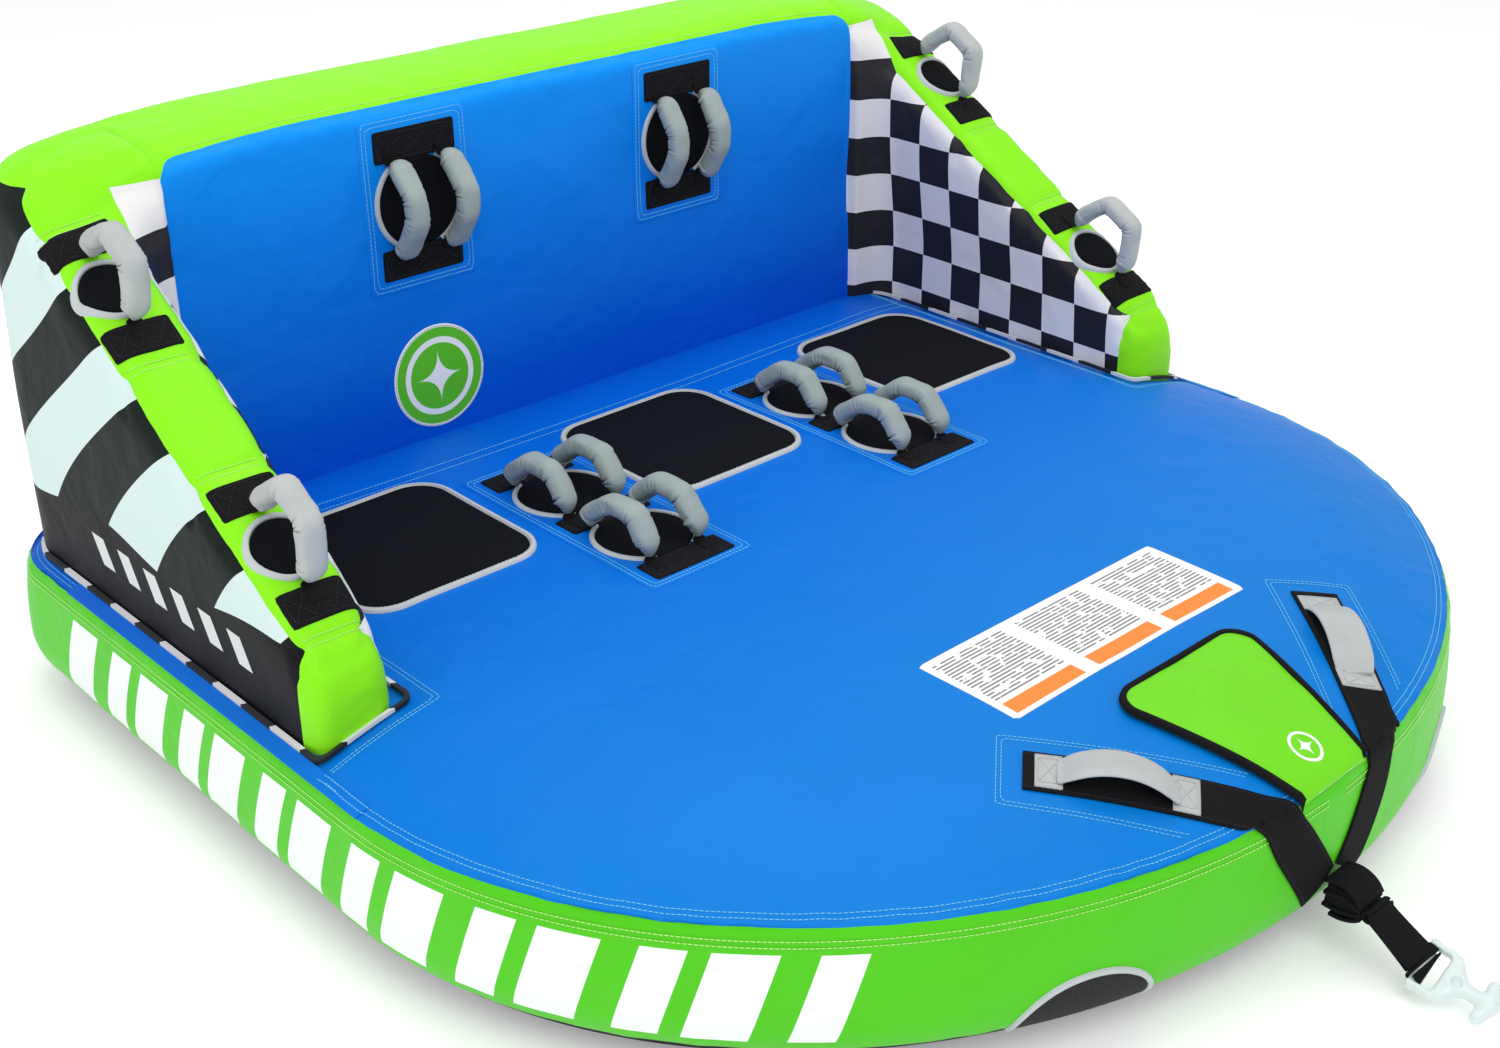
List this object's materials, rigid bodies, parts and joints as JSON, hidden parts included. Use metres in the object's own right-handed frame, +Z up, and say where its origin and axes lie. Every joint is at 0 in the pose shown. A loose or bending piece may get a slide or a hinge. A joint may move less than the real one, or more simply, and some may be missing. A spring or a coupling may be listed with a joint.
{
  "type": "towable tube",
  "caption": "Inflatable ride-on deck towed behind a boat: rounded nose, backrest, sloping side arms, padded grips, seat pads and a tow harness.",
  "frame": {"origin": "on the floor, under the middle of the inflated deck", "axes": "+Z up, -Y towards the nose and the tow connector, +Y towards the backrest, +X to the tube's right seen from its nose"},
  "size_m": [1.8908, 2.0658, 0.87],
  "materials": {
    "deck_cover": "sewn coated fabric",
    "back_cover": "sewn coated fabric",
    "green_cap": "sewn coated fabric",
    "green_band": "sewn coated fabric with slanted white bars",
    "base_cover": "coarse coated fabric",
    "check_panel": "dark and pale checks",
    "film": "smooth vinyl film",
    "webbing": "woven webbing",
    "neoprene": "matt neoprene",
    "binding": "woven tape",
    "grip_grey": "padded sleeve",
    "label_print": "printed vinyl",
    "piping": "black and white piping",
    "connector_plastic": "translucent moulded plastic",
    "valve_plastic": "moulded plastic",
    "mesh": "open mesh with white binding"
  },
  "bodies": {
    "tube": {"deck_top_panel": "deck_cover", "bottom_panel": "base_cover", "top_cap": "green_cap", "arm_cap_right": "green_cap", "arm_cap_left": "green_cap", "arm_inner_panel_right": "check_panel", "arm_inner_panel_left": "check_panel", "arm_outer_panel_right": "check_panel", "arm_outer_panel_left": "check_panel", "backrest_front_panel": "back_cover", "side_band": "green_band", "backrest_rear_panel": "back_cover", "deck_bladder": "film", "back_bladder": "film", "arm_bladder_right": "film", "arm_bladder_left": "film", "base_welt": "piping", "side_gusset_right": "deck_cover", "side_gusset_left": "deck_cover", "seat_pad_left": "neoprene", "seat_pad_middle": "neoprene", "seat_pad_right": "neoprene", "seat_pad_bindings": "binding", "handle_base_panels": "deck_cover", "anchor_patches": "webbing", "knuckle_guards": "neoprene", "knuckle_guard_bindings": "binding", "information_label": "label_print", "badge": "label_print", "harness_strap_right": "webbing", "harness_strap_left": "webbing", "carry_handle_right": "grip_grey", "carry_handle_left": "grip_grey", "drain_vents": "mesh", "zipper_tape": "webbing", "valve_bodies": "valve_plastic"},
    "grip_deck_left_rear_a": {"grip_deck_left_rear_a": "grip_grey"},
    "grip_deck_left_rear_b": {"grip_deck_left_rear_b": "grip_grey"},
    "grip_deck_left_front_a": {"grip_deck_left_front_a": "grip_grey"},
    "grip_deck_left_front_b": {"grip_deck_left_front_b": "grip_grey"},
    "grip_back_left_a": {"grip_back_left_a": "grip_grey"},
    "grip_back_left_b": {"grip_back_left_b": "grip_grey"},
    "grip_arm_left_upper": {"grip_arm_left_upper": "grip_grey"},
    "grip_arm_left_lower": {"grip_arm_left_lower": "grip_grey"},
    "grip_deck_right_rear_a": {"grip_deck_right_rear_a": "grip_grey"},
    "grip_deck_right_rear_b": {"grip_deck_right_rear_b": "grip_grey"},
    "grip_deck_right_front_a": {"grip_deck_right_front_a": "grip_grey"},
    "grip_deck_right_front_b": {"grip_deck_right_front_b": "grip_grey"},
    "grip_back_right_a": {"grip_back_right_a": "grip_grey"},
    "grip_back_right_b": {"grip_back_right_b": "grip_grey"},
    "grip_arm_right_upper": {"grip_arm_right_upper": "grip_grey"},
    "grip_arm_right_lower": {"grip_arm_right_lower": "grip_grey"},
    "stow_flap": {"stow_flap": "green_band"},
    "yoke": {"harness_yoke": "webbing"},
    "leader": {"tow_leader": "webbing"},
    "connector": {"tow_connector": "connector_plastic"},
    "slider": {"zipper_slider": "valve_plastic"},
    "deck_cap": {"valve_cap_deck": "valve_plastic"},
    "back_cap": {"valve_cap_backrest": "valve_plastic"}
  },
  "joints": [
    {"name": "grip_deck_left_rear_a_hinge", "type": "hinge", "parent": "tube", "child": "grip_deck_left_rear_a", "pos_m": [-0.314, 0.3055, 0.3045], "axis": [0, 1, 0], "range_deg": [-50, 25], "stiffness_Nm_per_rad": 0.3},
    {"name": "grip_deck_left_rear_b_hinge", "type": "hinge", "parent": "tube", "child": "grip_deck_left_rear_b", "pos_m": [-0.22, 0.3055, 0.3045], "axis": [0, 1, 0], "range_deg": [-25, 50], "stiffness_Nm_per_rad": 0.3},
    {"name": "grip_deck_left_front_a_hinge", "type": "hinge", "parent": "tube", "child": "grip_deck_left_front_a", "pos_m": [-0.314, 0.1165, 0.3045], "axis": [0, 1, 0], "range_deg": [-50, 25], "stiffness_Nm_per_rad": 0.3},
    {"name": "grip_deck_left_front_b_hinge", "type": "hinge", "parent": "tube", "child": "grip_deck_left_front_b", "pos_m": [-0.22, 0.1165, 0.3045], "axis": [0, 1, 0], "range_deg": [-25, 50], "stiffness_Nm_per_rad": 0.3},
    {"name": "grip_back_left_a_hinge", "type": "hinge", "parent": "tube", "child": "grip_back_left_a", "pos_m": [-0.317, 0.6335, 0.689], "axis": [0, 0, 1], "range_deg": [-50, 25], "stiffness_Nm_per_rad": 0.3},
    {"name": "grip_back_left_b_hinge", "type": "hinge", "parent": "tube", "child": "grip_back_left_b", "pos_m": [-0.223, 0.6335, 0.689], "axis": [0, 0, 1], "range_deg": [-25, 50], "stiffness_Nm_per_rad": 0.3},
    {"name": "grip_arm_left_upper_hinge", "type": "hinge", "parent": "tube", "child": "grip_arm_left_upper", "pos_m": [-0.836, 0.53296, 0.71826], "axis": [0, 0.8477, 0.5305], "range_deg": [-50, 50], "stiffness_Nm_per_rad": 0.3},
    {"name": "grip_arm_left_lower_hinge", "type": "hinge", "parent": "tube", "child": "grip_arm_left_lower", "pos_m": [-0.836, 0.14496, 0.47543], "axis": [0, 0.8477, 0.5305], "range_deg": [-50, 50], "stiffness_Nm_per_rad": 0.3},
    {"name": "grip_deck_right_rear_a_hinge", "type": "hinge", "parent": "tube", "child": "grip_deck_right_rear_a", "pos_m": [0.22, 0.3055, 0.3045], "axis": [0, 1, 0], "range_deg": [-50, 25], "stiffness_Nm_per_rad": 0.3},
    {"name": "grip_deck_right_rear_b_hinge", "type": "hinge", "parent": "tube", "child": "grip_deck_right_rear_b", "pos_m": [0.314, 0.3055, 0.3045], "axis": [0, 1, 0], "range_deg": [-25, 50], "stiffness_Nm_per_rad": 0.3},
    {"name": "grip_deck_right_front_a_hinge", "type": "hinge", "parent": "tube", "child": "grip_deck_right_front_a", "pos_m": [0.22, 0.1165, 0.3045], "axis": [0, 1, 0], "range_deg": [-50, 25], "stiffness_Nm_per_rad": 0.3},
    {"name": "grip_deck_right_front_b_hinge", "type": "hinge", "parent": "tube", "child": "grip_deck_right_front_b", "pos_m": [0.314, 0.1165, 0.3045], "axis": [0, 1, 0], "range_deg": [-25, 50], "stiffness_Nm_per_rad": 0.3},
    {"name": "grip_back_right_a_hinge", "type": "hinge", "parent": "tube", "child": "grip_back_right_a", "pos_m": [0.223, 0.6335, 0.689], "axis": [0, 0, 1], "range_deg": [-50, 25], "stiffness_Nm_per_rad": 0.3},
    {"name": "grip_back_right_b_hinge", "type": "hinge", "parent": "tube", "child": "grip_back_right_b", "pos_m": [0.317, 0.6335, 0.689], "axis": [0, 0, 1], "range_deg": [-25, 50], "stiffness_Nm_per_rad": 0.3},
    {"name": "grip_arm_right_upper_hinge", "type": "hinge", "parent": "tube", "child": "grip_arm_right_upper", "pos_m": [0.836, 0.53296, 0.71826], "axis": [0, 0.8477, 0.5305], "range_deg": [-50, 50], "stiffness_Nm_per_rad": 0.3},
    {"name": "grip_arm_right_lower_hinge", "type": "hinge", "parent": "tube", "child": "grip_arm_right_lower", "pos_m": [0.836, 0.14496, 0.47543], "axis": [0, 0.8477, 0.5305], "range_deg": [-50, 50], "stiffness_Nm_per_rad": 0.3},
    {"name": "stow_flap_hinge", "type": "hinge", "parent": "tube", "child": "stow_flap", "pos_m": [0, -0.896, 0.246], "axis": [1, 0, 0], "range_deg": [0, 150]},
    {"name": "yoke_yaw", "type": "hinge", "parent": "tube", "child": "yoke", "pos_m": [0, -0.94, 0.091], "axis": [0, 0, 1], "range_deg": [-35, 35]},
    {"name": "leader_pitch", "type": "hinge", "parent": "yoke", "child": "leader", "pos_m": [0, -0.976, 0.086], "axis": [1, 0, 0], "range_deg": [-60, 20]},
    {"name": "connector_pitch", "type": "hinge", "parent": "leader", "child": "connector", "pos_m": [0, -1.046, 0.043], "axis": [0.866, 0, 0.5], "range_deg": [-60, 30]},
    {"name": "slider_slide", "type": "slide", "parent": "tube", "child": "slider", "axis": [1, 0, 0], "range_m": [0, 1.26]},
    {"name": "deck_cap_hinge", "type": "hinge", "parent": "tube", "child": "deck_cap", "pos_m": [0.56, 0.90425, 0.22272], "axis": [1, 0, 0], "range_deg": [0, 120]},
    {"name": "back_cap_hinge", "type": "hinge", "parent": "tube", "child": "back_cap", "pos_m": [0.56, 0.875, 0.446], "axis": [1, 0, 0], "range_deg": [0, 120]}
  ]
}
